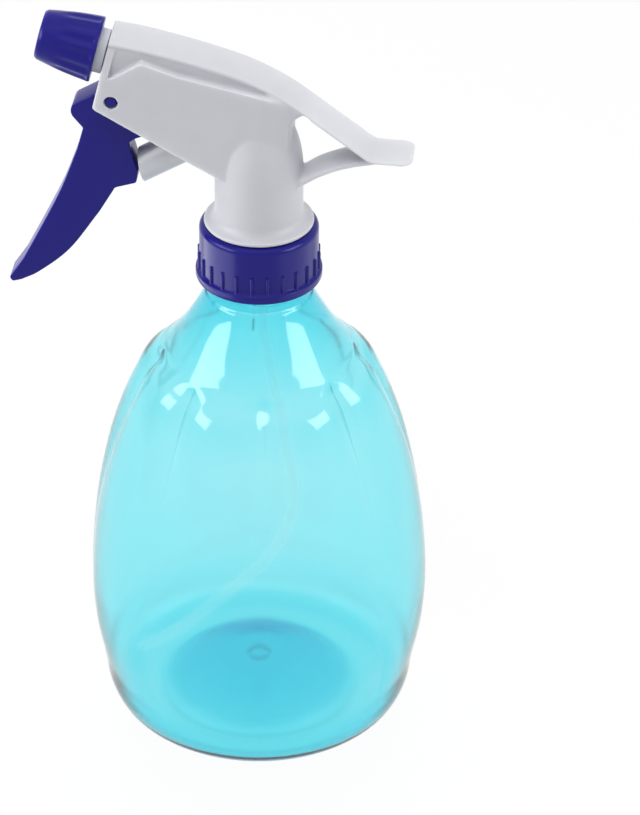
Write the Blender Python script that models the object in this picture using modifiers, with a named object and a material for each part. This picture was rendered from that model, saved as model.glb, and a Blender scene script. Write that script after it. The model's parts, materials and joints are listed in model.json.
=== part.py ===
"""Trigger spray bottle: a lobed clear bottle, a screw cap and a one-piece pump head.

Metres, +Z up. The bottle stands on z = 0 with its axis on Z. The nozzle points to -X.
Lengths are written in millimetres and scaled by MM where they are named.
"""
import math

import bmesh
import bpy
from mathutils import Matrix, Vector

MM = 0.001
TURN = 2 * math.pi

# Bottle: heights and outer radii of the lobes' crests in mm, from the foot to the neck
BOTTLE_SIDE = [(0, 34.4), (0.6, 37.2), (2.2, 39.5), (5, 41.2), (9, 42.4), (15, 43.2), (27, 45.5),
               (40, 46.35), (54, 45.6), (68, 43.9), (82, 41.0), (93, 37.5), (101, 34.2), (106.5, 31.5),
               (110, 27.9), (112.3, 25.3), (118, 20.9), (126, 16.25), (131.6, 13.6)]
LOBES = 8
LOBE_PHASE = math.radians(-80)
LOBE_TOP = 112.3          # the ring where the lobes begin, in mm
LOBE_FOOT = 15.0          # the height where they fade out, in mm
CREASE_DEPTH = 3.0 * MM
BOTTLE_SEGMENTS = 48
BOTTLE_WALL = 0.9 * MM
# Underside, as (radius, height) in mm: the raised centre, its step and the slope to the standing ring
UNDERSIDE = [(8.4, 7.8), (9.0, 7.1), (15, 5.9), (20.5, 3.4), (24.2, 0.7), (25.5, 0)]
# Inside of the foot, where the wall is thickest, as (radius, height) in mm
INSIDE_CORNER = [(27.0, 0.9), (34.0, 0.9), (38.1, 2.6)]
NECK_TOP = 146.0 * MM
NECK_RADIUS = 12.6 * MM
NECK_BORE = 10.8 * MM
NECK_RIM_ROUND = 0.5 * MM
# Bead under the cap, as (radius, height) in mm from its top to its foot
BEAD = [(12.6, 134.9), (15.2, 134.4), (15.2, 133.3), (14.6, 132.8)]

# Washer on the neck: outer and inner radius, and thickness
GASKET_OUTER = 13.6 * MM
GASKET_INNER = 10.9 * MM
GASKET_THICK = 1.0 * MM
SEAT_GAP = 0.3 * MM       # the gap between pieces that touch

# Dip tube
TUBE_RADIUS = 2.0 * MM
TUBE_WALL = 0.7 * MM
TUBE_ROUTE = [(0, 0, 149.6), (0, 0, 138), (0.9, 0, 120), (4.8, 1.0, 94), (8.6, 2.6, 71), (9.0, 3.8, 57.5),
              (5.8, 4.2, 46.6), (0.4, 4.1, 37.9), (-6.6, 3.5, 30.4), (-14.5, 2.6, 22.7), (-24, 1.2, 14.6),
              (-34.5, 0, 8)]

# Screw cap
CAP_RADIUS = 15.75 * MM
CAP_BOTTOM = 135.2 * MM
CAP_TOP = 151.0 * MM
CAP_BORE = 14.1 * MM
CAP_OPENING = 11.2 * MM
CAP_LIP = 1.7 * MM
CAP_EDGE_ROUND = 1.3 * MM
CAP_FLARE = 1.0 * MM
CAP_FLARE_TOP = 137.4 * MM
RIB_COUNT = 24
RIB_TOP = 142.8 * MM
RIB_WIDTH = 0.9 * MM
RIB_PROUD = 0.6 * MM

# Pump head: column
COLUMN_RADIUS = 11.6 * MM
COLUMN_FLARE = 14.5 * MM
COLUMN_FOOT = 151.3 * MM
DOME_START = 167.0 * MM
DOME_HEIGHT = 20.0 * MM
SNAP_FLANGE_RADIUS = 13.0 * MM
SNAP_FLANGE_BOTTOM = 147.6 * MM
SNAP_FLANGE_TOP = 149.0 * MM
HOLDER_BORE = 6.2 * MM
HOLDER_BORE_TOP = 158.4 * MM
INLET_BORE = 1.6 * MM
INLET_BORE_TOP = 180.0 * MM

# Plug in the column: its outside, tube socket, ball seat and chamber, as (radius, height) in mm
TUBE_HOLDER = [(5.9, 157.9), (5.9, 147.3), (9.8, 147.3), (9.8, 146.3), (3.8, 146.3), (3.8, 139.0),
               (2.3, 139.0), (2.3, 150.0), (1.4, 150.0), (1.4, 152.2), (2.6, 153.4), (2.6, 157.9)]

# Pump head: moulding, as side outlines of (x, z) or (x, z, corner radius) in mm
CHEEK_HALF = 8.7 * MM
CORE_HALF = 5.8 * MM
RAIL_HALF = 6.5 * MM
STRUT_HALF = 5.2 * MM
SLOT_HALF = 6.7 * MM
CHEEK_OUTLINE = [(-42.2, 186.2, 2.0), (-9.0, 167.2, 0), (0, 165.5, 0), (7.0, 168.0, 0),
                 (9.3, 177.5, 4), (9.8, 184.6, 1.5), (13.0, 186.3, 0), (4.5, 191.6, 0),
                 (-20.5, 197.2, 0), (-29.3, 200.3, 1.5), (-37.6, 195.2, 0)]
RAIL_EDGE = [(-37.9, 204.3), (-30.3, 203.2), (-20.7, 201.1), (-11.5, 198.7), (-4, 196.3), (1.6, 193.9),
             (6.5, 191.3), (11, 188.4), (18, 183.2), (25.2, 177.9), (28.2, 175.6), (29.8, 174.7), (31.6, 174.4),
             (40.3, 174.3)]
CORE_FOOT = [(9.0, 183.0), (0, 176.0), (-41.0, 189.5)]
CORE_SINK = 0.3           # how far the core's top lies under the rail's edge, in mm
RAIL_SIDE = 0.8 * MM
TAIL_SIDE = 0.7 * MM
RAIL_CROWN = 1.5 * MM
TAIL_CROWN = 0.6 * MM
TAIL_FROM_X = 4.0 * MM
TAIL_CORNER = 3.2 * MM
STRUT_UPPER = [(8.0, 164.8), (11.3, 167.1), (15.3, 169.8), (20.8, 172.3), (28.2, 174.7)]
STRUT_LOWER = [(9.6, 162.6), (12.7, 165.0), (16.6, 167.6), (21.8, 170.1), (27.1, 171.7), (32.1, 172.6),
               (38.0, 173.8)]
STRUT_END = (38.0, 174.1)   # inside the tail, where the strut runs out
FLANGE_THICK = 2.0 * MM
SLOT_OUTLINE = [(-50, 193.0), (-33.4, 193.0), (-28.5, 188.0)]
SLOT_FLOOR = [(-14.0, 163.0), (-50, 163.0)]

# Nozzle axis: it leaves the head's front face here and climbs by the tilt
NOZZLE_TILT = math.radians(13.5)
NOZZLE_ORIGIN = Vector((-39.25, 0, 198.48)) * MM
HOLDER_PLUG_BORE = 4.2 * MM
HOLDER_PLUG_DEPTH = 9.0 * MM
OUTLET_BORE = 1.6 * MM
OUTLET_BORE_DEPTH = 37.0 * MM

# Pieces on the nozzle axis, as (radius, height above the front face) in mm
NOZZLE_HOLDER = [(5.1, 13.0), (5.5, 12.6), (5.5, 4.0), (5.85, 3.7), (5.85, 0.3), (3.9, 0.3), (3.9, -8.5),
                 (1.1, -8.5), (1.1, -6.0), (2.3, -4.8), (2.3, 13.0)]
SWIRL_INSERT = [(0, 14.4), (3.3, 14.4), (3.6, 14.1), (3.6, 13.3), (2.0, 13.3), (2.0, 5.3), (0, 5.3)]
SWIRL_SLOTS = 3
SWIRL_SLOT_SIZE = (4.0 * MM, 0.6 * MM, 0.8 * MM)
SWIRL_SLOT_PLACE = (2.4 * MM, 0.9 * MM, 14.4 * MM)
NOZZLE_SEAL = [(5.9, 15.7), (5.9, 14.7), (4.2, 14.7), (4.2, 15.7)]

# Nozzle cap
NOZZLE_SIDE = [(6.4, 16.8), (6.95, 14.2), (7.6, 10.8), (8.1, 7.2), (8.4, 4.2), (8.45, 3.4), (8.25, 2.9)]
NOZZLE_FACE = [(0.5, 16.9), (2.8, 17.7), (5.2, 17.7), (5.9, 17.5)]
NOZZLE_RIM = 2.9 * MM
NOZZLE_BORE = 6.2 * MM
NOZZLE_BORE_END = 16.0 * MM
NOZZLE_ORIFICE = 0.5 * MM
NOZZLE_SEGMENTS = 42
FLUTES = 14
FLUTE_DEPTH = 0.45 * MM
FLUTE_SPAN = (2.9, 4.5, 9.0, 14.5)   # the flutes rise over the first two heights and fade over the last, in mm

# Trigger: side outline in mm, with its pivot
PIVOT = Vector((-37.3, 0, 188.3)) * MM
TRIGGER_HALF = 3.8 * MM
TRIGGER_HEAD = [(-38.6, 192.2, 2.4), (-34.0, 191.4, 3.0), (-29.0, 181.0, 2.0), (-29.9, 176.2, 0.8),
                (-31.8, 175.4, 0.4), (-33.4, 174.2, 0.4), (-33.3, 172.2, 0.5), (-32.5, 169.2, 0.8),
                (-31.3, 165.6, 1.0), (-31.8, 162.2, 0.9), (-37.4, 160.4, 1.5)]
TRIGGER_BACK = [(-42.1, 152.6), (-49.8, 140.9), (-58.0, 133.4), (-63.0, 130.4)]
TRIGGER_TIP = [(-65.6, 129.6), (-66.3, 130.9)]
TRIGGER_FRONT = [(-62.4, 136.9), (-57.0, 148.4), (-52.0, 159.4), (-47.6, 171.5)]
TRIGGER_NOSE = [(-45.6, 178.0, 1.0), (-48.4, 181.6, 2.4), (-47.9, 184.6, 1.0), (-40.5, 189.4, 2.0)]
TRIGGER_EDGE = 0.45 * MM
BOSS_RADIUS = 3.0 * MM
BOSS_END = 6.4 * MM
PIN_RADIUS = 1.45 * MM
PIN_END = 8.4 * MM
PIN_HOLE = 1.8 * MM
CHANNEL_HALF = 2.3 * MM
CHANNEL_OUTLINE = [(-40.5, 158.6, 1.5), (-49.2, 158.6, 2.0), (-58.4, 139.4, 2.0), (-57.0, 136.4, 0.8),
                   (-54.0, 134.0, 0), (-38.5, 151.0, 0)]

# Piston: its axis passes this point and climbs towards the column
PISTON_ORIGIN = Vector((-30.0, 0, 166.45)) * MM
PISTON_TILT = math.radians(31)
PUMP_BORE = 5.6 * MM
PUMP_WALL = 6.7 * MM
PUMP_MOUTH = 16.9 * MM
PUMP_END = 36.0 * MM
ROD_FACE = -0.85 * MM     # where the slanted rod end crosses the piston axis
ROD_FACE_SLANT = math.atan(0.33)
# Piston head along its axis, as (radius, place) in mm: spring pin, lands and the cup's groove
PISTON_FORM = [(0, 26.0), (2.4, 26.0), (2.4, 23.2), (4.9, 23.2), (4.9, 22.4), (3.7, 22.4), (3.7, 19.8),
               (5.2, 19.8), (5.2, 18.2), (4.45, 17.8), (4.45, -5.0), (0, -5.0)]
PISTON_CUP = [(5.3, 22.1), (4.8, 21.1), (5.3, 20.1), (4.0, 20.1), (4.0, 22.1)]

# Springs
SPRING_WIRE = 0.35 * MM
SPRING_RADIUS = 3.9 * MM
SPRING_SPAN = (23.85 * MM, 35.35 * MM)
SPRING_TURNS = 4
OUTLET_WIRE = 0.22 * MM
OUTLET_SPRING_RADIUS = 1.75 * MM
OUTLET_SPRING_SPAN = (-2.28 * MM, 4.75 * MM)
OUTLET_TURNS = 4
POINTS_PER_CURL = 8

# Check balls
INLET_BALL = 2.0 * MM
INLET_BALL_HEIGHT = 154.05 * MM
OUTLET_BALL = 1.6 * MM
OUTLET_BALL_PLACE = -4.41 * MM


# Scene, materials and placing

def new_collection(name):
    """Make a collection in the scene."""
    group = bpy.data.collections.new(name)
    bpy.context.scene.collection.children.link(group)
    return group


def clear_scene():
    """Remove the objects that the file opened with."""
    for obj in list(bpy.data.objects):
        bpy.data.objects.remove(obj, do_unlink=True)


def plastic(name, colour, roughness, metallic=0.0, transmission=0.0):
    """Make a Principled material."""
    mat = bpy.data.materials.new(name)
    mat.use_nodes = True
    shader = mat.node_tree.nodes["Principled BSDF"]
    shader.inputs["Base Color"].default_value = (*colour, 1.0)
    shader.inputs["Roughness"].default_value = roughness
    shader.inputs["Metallic"].default_value = metallic
    shader.inputs["Transmission Weight"].default_value = transmission
    mat.diffuse_color = (*colour, 1.0)
    return mat


clear_scene()
PARTS = new_collection("spray_bottle")
TOOLS = new_collection("cutters")
CYAN_PET = plastic("cyan_pet", (0.20, 0.75, 0.82), 0.08, transmission=0.9)
CLEAR_PE = plastic("clear_pe", (0.75, 0.88, 0.90), 0.35, transmission=0.6)
BLUE_PP = plastic("blue_pp", (0.022, 0.017, 0.26), 0.30)
WHITE_PP = plastic("white_pp", (0.70, 0.70, 0.74), 0.42)
PALE_GREY_PP = plastic("pale_grey_pp", (0.55, 0.60, 0.66), 0.40)
BLACK_RUBBER = plastic("black_rubber", (0.03, 0.03, 0.03), 0.70)
STEEL = plastic("steel", (0.62, 0.62, 0.60), 0.22, metallic=1.0)


def as_part(obj, mat, parent=None):
    """Keep an object as a named piece, with its material and its carrier."""
    obj.data.materials.clear()
    obj.data.materials.append(mat)
    PARTS.objects.link(obj)
    obj.parent = parent
    return obj


def as_tool(obj, parent=None):
    """Keep an object as a hidden solid that cuts or joins another."""
    TOOLS.objects.link(obj)
    obj.parent = parent
    obj.hide_render = True
    obj.display_type = "WIRE"
    return obj


def axis_empty(name, point, direction=Vector((0, 0, 1)), parent=None):
    """Put an empty at a point, its local Z along a direction in the XZ plane."""
    empty = bpy.data.objects.new(name, None)
    empty.empty_display_size = 10 * MM
    PARTS.objects.link(empty)
    empty.location = point
    empty.rotation_euler = (0, math.atan2(direction.x, direction.z), 0)
    empty.parent = parent
    return empty


def combine(target, tool, operation):
    """Add one Boolean step to a piece."""
    step = target.modifiers.new(f"{operation.lower()}_{tool.name}", "BOOLEAN")
    step.operation = operation
    step.solver = "EXACT"
    step.object = tool


# Outlines and curves

def spline(points, steps):
    """Run a smooth curve through points of any dimension, with even steps in each span."""
    rows = [Vector(p) for p in points]
    rows = [2 * rows[0] - rows[1]] + rows + [2 * rows[-1] - rows[-2]]
    path = []
    for a, b, c, d in zip(rows, rows[1:], rows[2:], rows[3:]):
        for i in range(steps):
            t = i / steps
            path.append(0.5 * (2 * b + (c - a) * t + (2 * a - 5 * b + 4 * c - d) * t ** 2
                               + (3 * b - a - 3 * c + d) * t ** 3))
    path.append(rows[-2])
    return path


def rounded(corners, steps=4):
    """Turn (x, z, radius) corners into an outline with an arc at each rounded one."""
    outline = []
    count = len(corners)
    for i, (x, z, radius) in enumerate(corners):
        here = Vector((x, z))
        if radius == 0:
            outline.append(here)
            continue
        before = (Vector(corners[i - 1][:2]) - here).normalized()
        after = (Vector(corners[(i + 1) % count][:2]) - here).normalized()
        half = before.angle(after) / 2
        reach = radius / math.tan(half)
        centre = here + (before + after).normalized() * radius / math.sin(half)
        start = here + before * reach - centre
        sweep = start.angle_signed(here + after * reach - centre)
        for k in range(steps + 1):
            turn = Matrix.Rotation(-sweep * k / steps, 2)
            outline.append(centre + turn @ start)
    return outline


def blend(value, low, high):
    """Ease from 0 at low to 1 at high."""
    t = min(1.0, max(0.0, (value - low) / (high - low)))
    return t * t * (3 - 2 * t)


# Solids

def mesh_object(name, form):
    """Turn a bmesh into an object, faces outwards and shaded smooth."""
    bmesh.ops.recalc_face_normals(form, faces=form.faces)
    mesh = bpy.data.meshes.new(name)
    form.to_mesh(mesh)
    form.free()
    mesh.shade_smooth()
    mesh.set_sharp_from_angle(angle=math.radians(35))
    return bpy.data.objects.new(name, mesh)


def loft(name, rings, cyclic=False):
    """Skin equal rings of points, capped at both ends or closed into a tube."""
    form = bmesh.new()
    rows = [[form.verts.new(p) for p in ring] for ring in rings]
    pairs = list(zip(rows, rows[1:]))
    if cyclic:
        pairs.append((rows[-1], rows[0]))
    else:
        form.faces.new(rows[0])
        form.faces.new(rows[-1])
    for low, high in pairs:
        for i in range(len(low)):
            form.faces.new((low[i - 1], low[i], high[i], high[i - 1]))
    return mesh_object(name, form)


def turned(name, profile, steps):
    """Turn a profile of (radius, height) in mm about local Z. It runs down its outer side."""
    mesh = bpy.data.meshes.new(name)
    open_ended = profile[0][0] == 0
    edges = [(i, i + 1) for i in range(len(profile) - 1)]
    if not open_ended:
        edges.append((len(profile) - 1, 0))
    mesh.from_pydata([(r * MM, 0, z * MM) for r, z in profile], edges, [])
    obj = bpy.data.objects.new(name, mesh)
    screw = obj.modifiers.new("turn", "SCREW")
    screw.steps = steps
    screw.render_steps = steps
    screw.use_merge_vertices = True
    screw.merge_threshold = 0.00001
    screw.use_smooth_shade = True
    return obj


def curve_to_mesh(curve_object):
    """Make a curve's evaluated shape a mesh object with welded caps, and drop the curve."""
    bpy.context.scene.collection.objects.link(curve_object)
    graph = bpy.context.evaluated_depsgraph_get()
    mesh = bpy.data.meshes.new_from_object(curve_object.evaluated_get(graph))
    form = bmesh.new()
    form.from_mesh(mesh)
    bmesh.ops.remove_doubles(form, verts=form.verts, dist=0.00001)
    form.to_mesh(mesh)
    form.free()
    name, place = curve_object.name, curve_object.matrix_world.copy()
    bpy.data.objects.remove(curve_object, do_unlink=True)
    obj = bpy.data.objects.new(name, mesh)
    obj.matrix_world = place
    return obj


def plate(name, outline, half_width):
    """Extrude a side outline of (x, z) in mm to both sides of the XZ plane."""
    curve = bpy.data.curves.new(name, "CURVE")
    curve.dimensions = "2D"
    curve.fill_mode = "BOTH"
    curve.extrude = half_width
    line = curve.splines.new("POLY")
    line.points.add(len(outline) - 1)
    for point, place in zip(line.points, outline):
        point.co = (place[0] * MM, place[1] * MM, 0, 1)
    line.use_cyclic_u = True
    obj = curve_to_mesh(bpy.data.objects.new(name, curve))
    obj.data.transform(Matrix.Rotation(math.pi / 2, 4, "X"))
    return obj


def bar(name, start, end, radius, sides=24):
    """Make a round bar between two points."""
    form = bmesh.new()
    run = end - start
    bmesh.ops.create_cone(form, cap_ends=True, segments=sides, radius1=radius, radius2=radius, depth=run.length)
    turn = run.to_track_quat("Z", "Y").to_matrix().to_4x4()
    bmesh.ops.transform(form, matrix=Matrix.Translation((start + end) / 2) @ turn, verts=form.verts)
    return mesh_object(name, form)


def block(name, size, matrix):
    """Make a box of a size, placed by a matrix."""
    form = bmesh.new()
    bmesh.ops.create_cube(form, size=1, matrix=matrix @ Matrix.Diagonal((*size, 1)))
    return mesh_object(name, form)


def ball(name, radius, place):
    """Make a ball about a point on local Z."""
    form = bmesh.new()
    bmesh.ops.create_uvsphere(form, u_segments=12, v_segments=8, radius=radius,
                              matrix=Matrix.Translation((0, 0, place)))
    return mesh_object(name, form)


def coil(name, wire, radius, span, turns):
    """Wind a spring about local Z as one tube, and print its least gap to itself."""
    count = turns * POINTS_PER_CURL
    places = []
    for i in range(count + 1):
        angle = TURN * i / POINTS_PER_CURL
        height = span[0] + (span[1] - span[0]) * i / count
        places.append(Vector((radius * math.cos(angle), radius * math.sin(angle), height)))
    curve = bpy.data.curves.new(name, "CURVE")
    curve.dimensions = "3D"
    curve.bevel_depth = wire
    curve.bevel_resolution = 1
    curve.use_fill_caps = True
    line = curve.splines.new("POLY")
    line.points.add(count)
    for point, place in zip(line.points, places):
        point.co = (*place, 1)
    near = min((places[i] - places[j]).length for i in range(count + 1)
               for j in range(i + POINTS_PER_CURL // 2, count + 1))
    print(f"{name}: least gap between curls {(near - 2 * wire) / MM:.2f} mm")
    return bpy.data.objects.new(name, curve)


# Bottle

def crease(angle):
    """How far into a crease an angle lies: 1 in the crease, 0 on a lobe's crest."""
    return (1 - abs(math.sin(LOBES / 2 * (angle - LOBE_PHASE)))) ** 1.4


def crease_depth(height):
    """The creases' depth at a height in mm: deepest under the ring, fading to the foot."""
    rise = blend(LOBE_TOP - height, 0, 7)
    fade = blend(height, LOBE_FOOT, LOBE_FOOT + 8) * (0.18 + 0.82 * blend(height, 45, 106) ** 1.6)
    return CREASE_DEPTH * rise * fade


def bottle_ring(radius, height, lobed=False):
    """One level of the bottle, round or lobed. Radius in metres, height in mm."""
    ring = []
    for i in range(BOTTLE_SEGMENTS):
        angle = LOBE_PHASE + TURN * i / BOTTLE_SEGMENTS
        r = radius - (crease_depth(height) * crease(angle) if lobed else 0)
        ring.append((r * math.cos(angle), r * math.sin(angle), height * MM))
    return ring


def make_bottle():
    """Loft the shell: up the inside from the raised centre, over the rim and down the outside."""
    side = [(z, r * MM) for z, r in BOTTLE_SIDE]
    wall, neck, rim = BOTTLE_WALL / MM, NECK_TOP / MM, NECK_RIM_ROUND / MM
    inside_foot = [bottle_ring(r * MM, z + wall) for r, z in UNDERSIDE[:-2]]
    corner = [bottle_ring(r * MM, z) for r, z in INSIDE_CORNER]
    inner = [bottle_ring(r - BOTTLE_WALL, z, True) for z, r in side[3:-1:2] + side[-1:]]
    neck_edge = [bottle_ring(NECK_BORE, neck), bottle_ring(NECK_RADIUS - NECK_RIM_ROUND, neck),
                 bottle_ring(NECK_RADIUS, neck - rim)]
    bead = [bottle_ring(r * MM, z) for r, z in BEAD]
    outer = [bottle_ring(r, z, True) for z, r in reversed(side)]
    foot = [bottle_ring(r * MM, z) for r, z in reversed(UNDERSIDE)]
    return as_part(loft("bottle", inside_foot + corner + inner + neck_edge + bead + outer + foot), CYAN_PET)


# Cap, gasket and dip tube

def make_cap():
    """Turn the collar and join the upright ribs to it."""
    top, bottom, bore = CAP_TOP / MM, CAP_BOTTOM / MM, CAP_BORE / MM
    radius, edge, flare = CAP_RADIUS / MM, CAP_EDGE_ROUND / MM, CAP_FLARE / MM
    arc = [(radius - edge + edge * math.sin(a), top - edge + edge * math.cos(a))
           for a in (math.pi / 2 * k / 3 for k in range(4))]
    flare_top = CAP_FLARE_TOP / MM
    profile = arc + [(radius, flare_top + 0.6), (radius + flare, flare_top), (radius + flare, bottom + 0.4),
                     (radius + flare - 0.4, bottom), (bore, bottom), (bore, top - CAP_LIP / MM),
                     (CAP_OPENING / MM, top - CAP_LIP / MM), (CAP_OPENING / MM, top)]
    cap = as_part(turned("screw_cap", profile, 48), BLUE_PP, HEAD_LIFT)
    form = bmesh.new()
    height = RIB_TOP - CAP_FLARE_TOP
    for i in range(RIB_COUNT):
        turn = Matrix.Rotation(TURN * i / RIB_COUNT, 4, "Z")
        middle = Matrix.Translation((CAP_RADIUS, 0, CAP_FLARE_TOP + height / 2))
        size = Matrix.Diagonal((2 * RIB_PROUD, RIB_WIDTH, height, 1))
        bmesh.ops.create_cube(form, size=1, matrix=turn @ middle @ size)
    combine(cap, as_tool(mesh_object("cap_ribs", form)), "UNION")
    return cap


def make_gasket():
    """Turn the washer that seals the neck."""
    low = (NECK_TOP + SEAT_GAP) / MM
    high = low + GASKET_THICK / MM
    outer, inner = GASKET_OUTER / MM, GASKET_INNER / MM
    profile = [(outer, high), (outer, low), (inner, low), (inner, high)]
    return as_part(turned("neck_gasket", profile, 28), BLACK_RUBBER, HEAD_LIFT)


def make_tube():
    """Sweep the dip tube along its route and give it its bore."""
    route = spline([Vector(p) * MM for p in TUBE_ROUTE], 2)
    curve = bpy.data.curves.new("dip_tube", "CURVE")
    curve.dimensions = "3D"
    curve.bevel_depth = TUBE_RADIUS
    curve.bevel_resolution = 2
    line = curve.splines.new("POLY")
    line.points.add(len(route) - 1)
    for point, place in zip(line.points, route):
        point.co = (*place, 1)
    tube = curve_to_mesh(bpy.data.objects.new("dip_tube", curve))
    bore = tube.modifiers.new("bore", "SOLIDIFY")
    bore.thickness = TUBE_WALL
    bore.offset = -1
    return as_part(tube, CLEAR_PE, HEAD_LIFT)


def make_tube_holder():
    """Turn the plug that grips the tube, with the inlet ball's seat and chamber."""
    return as_part(turned("tube_holder", TUBE_HOLDER, 20), PALE_GREY_PP, HEAD_LIFT)


# Pump head

def column_profile():
    """The column from the tip of its dome down to the snap flange, closed at the axis."""
    radius, start, height = COLUMN_RADIUS / MM, DOME_START / MM, DOME_HEIGHT / MM
    foot, flare = COLUMN_FOOT / MM, COLUMN_FLARE / MM
    dome = [(radius * math.sin(a), start + height * math.cos(a))
            for a in (math.pi / 2 * k / 5 for k in range(6))]
    sweep = [(flare - (flare - radius) * math.sin(a), foot + 3.9 - 2.9 * math.cos(a))
             for a in (math.pi / 2 * k / 4 for k in range(4, -1, -1))]
    neck, snap = (CAP_OPENING - SEAT_GAP) / MM, SNAP_FLANGE_RADIUS / MM
    return dome + sweep + [(flare, foot), (neck, foot), (neck, SNAP_FLANGE_TOP / MM),
                           (snap, SNAP_FLANGE_TOP / MM), (snap, SNAP_FLANGE_BOTTOM / MM),
                           (0, SNAP_FLANGE_BOTTOM / MM)]


def rail_section(place, along, at_end):
    """One slice of the top rail or tail, square to its run, with a crowned top."""
    tail = blend(place.x, TAIL_FROM_X, TAIL_FROM_X + 9 * MM)
    side = RAIL_SIDE + (TAIL_SIDE - RAIL_SIDE) * tail
    crown = RAIL_CROWN + (TAIL_CROWN - RAIL_CROWN) * tail
    half = RAIL_HALF - at_end
    up = Vector((-along.z, 0, along.x))
    across = [half * math.sin(math.pi / 2 * k / 4) for k in range(-4, 5)]
    top = [place + Vector((0, y, 0)) + up * crown * (1 - (y / half) ** 2) for y in across]
    low = [place + Vector((0, y, 0)) - up * side for y in (half, -half)]
    return top + low


def make_rail():
    """Loft the rail from the front face over the column to the rounded tail end."""
    edge = [Vector((x, 0, z)) * MM for x, z in RAIL_EDGE]
    sections = []
    for i, place in enumerate(edge[:-1]):
        along = (edge[min(i + 1, len(edge) - 1)] - edge[max(i - 1, 0)]).normalized()
        sections.append(rail_section(place, along, 0))
    tip = edge[-1]
    for k in range(1, 6):
        angle = math.pi / 2 * k / 5
        place = tip + Vector((TAIL_CORNER * (math.sin(angle) - 1), 0, 0))
        sections.append(rail_section(place, Vector((1, 0, 0)), TAIL_CORNER * (1 - math.cos(angle))))
    return loft("rail", sections)


def make_strut():
    """Extrude the arched strut, which leaves the column and runs out along the tail's underside."""
    lower = spline(STRUT_LOWER, 2)
    return plate("strut", spline(STRUT_UPPER, 3) + [STRUT_END] + lower[::-1], STRUT_HALF)


def make_front_flange():
    """Extrude the front wall behind the nozzle, narrowing from the cheeks to the rail."""
    cheek, rail = CHEEK_HALF / MM, RAIL_HALF / MM
    outline = rounded([(-12.4, -cheek, 0), (-12.4, cheek, 0), (-2.0, cheek, 4), (4.6, rail, 3),
                       (6.9, 3.0, 3), (6.9, -3.0, 3), (4.6, -rail, 3), (-2.0, -cheek, 4)], 3)
    flange = plate("front_flange", outline, FLANGE_THICK / 2)
    flange.data.transform(Matrix.Rotation(-math.pi / 2, 4, "X"))
    flange.data.transform(Matrix.Translation((0, 0, -FLANGE_THICK / 2)))
    return flange


def make_sprayer_body():
    """Join the column, cheeks, rail, strut and front wall, then cut the slot and the bores."""
    body = as_part(turned("sprayer_body", column_profile(), 32), WHITE_PP, HEAD_LIFT)
    core = [(x, z - CORE_SINK) for x, z in RAIL_EDGE[:8]] + CORE_FOOT
    joined = [plate("cheeks", rounded(CHEEK_OUTLINE), CHEEK_HALF), plate("core", core, CORE_HALF),
              make_rail(), make_strut()]
    for solid in joined:
        combine(body, as_tool(solid), "UNION")
    combine(body, as_tool(make_front_flange(), NOZZLE_AXIS), "UNION")
    along = Vector((math.cos(PISTON_TILT), 0, math.sin(PISTON_TILT)))
    across = Vector((-along.z, 0, along.x))
    mouth = [(PISTON_ORIGIN + along * PUMP_MOUTH + across * reach) / MM for reach in (PUMP_WALL, -PUMP_WALL)]
    slot = SLOT_OUTLINE + [(p.x, p.z) for p in mouth] + SLOT_FLOOR
    cuts = [plate("trigger_slot", slot, SLOT_HALF),
            bar("pump_bore", PISTON_ORIGIN + along * (PUMP_MOUTH - 2 * MM), PISTON_ORIGIN + along * PUMP_END,
                PUMP_BORE),
            bar("holder_bore", Vector((0, 0, SNAP_FLANGE_BOTTOM - 1 * MM)), Vector((0, 0, HOLDER_BORE_TOP)),
                HOLDER_BORE),
            bar("inlet_bore", Vector((0, 0, HOLDER_BORE_TOP - 1 * MM)), Vector((0, 0, INLET_BORE_TOP)), INLET_BORE, 12),
            bar("pin_holes", PIVOT - Vector((0, 12 * MM, 0)), PIVOT + Vector((0, 12 * MM, 0)), PIN_HOLE, 16)]
    for solid in cuts:
        combine(body, as_tool(solid), "DIFFERENCE")
    on_axis = [bar("plug_bore", Vector((0, 0, 1 * MM)), Vector((0, 0, -HOLDER_PLUG_DEPTH)), HOLDER_PLUG_BORE),
               bar("outlet_bore", Vector((0, 0, 0)), Vector((0, 0, -OUTLET_BORE_DEPTH)), OUTLET_BORE, 12)]
    for solid in on_axis:
        combine(body, as_tool(solid, NOZZLE_AXIS), "DIFFERENCE")
    return body


# Trigger and piston

def make_trigger():
    """Extrude the lever about its pivot, round its edges, add the trunnions and hollow the back."""
    back = [(p.x, p.y, 0) for p in spline(TRIGGER_BACK, 3)]
    front = [(p.x, p.y, 0) for p in spline(TRIGGER_FRONT, 2)]
    tip = [(x, z, 0.8) for x, z in TRIGGER_TIP]
    outline = rounded(TRIGGER_HEAD + back + tip + front + TRIGGER_NOSE, 2)
    trigger = plate("trigger", outline, TRIGGER_HALF)
    shift = Matrix.Translation(-PIVOT)
    trigger.data.transform(shift)
    trigger.location = PIVOT
    edge = trigger.modifiers.new("edge", "BEVEL")
    edge.width = TRIGGER_EDGE
    edge.segments = 1
    edge.limit_method = "ANGLE"
    edge.angle_limit = math.radians(60)
    across = Vector((0, 1, 0))
    for name, radius, end, sides in (("bosses", BOSS_RADIUS, BOSS_END, 20), ("pins", PIN_RADIUS, PIN_END, 16)):
        combine(trigger, as_tool(bar(name, PIVOT - across * end, PIVOT + across * end, radius, sides)), "UNION")
    combine(trigger, as_tool(plate("channel", rounded(CHANNEL_OUTLINE, 3), CHANNEL_HALF)), "DIFFERENCE")
    return as_part(trigger, BLUE_PP, HEAD_LIFT)


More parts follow.
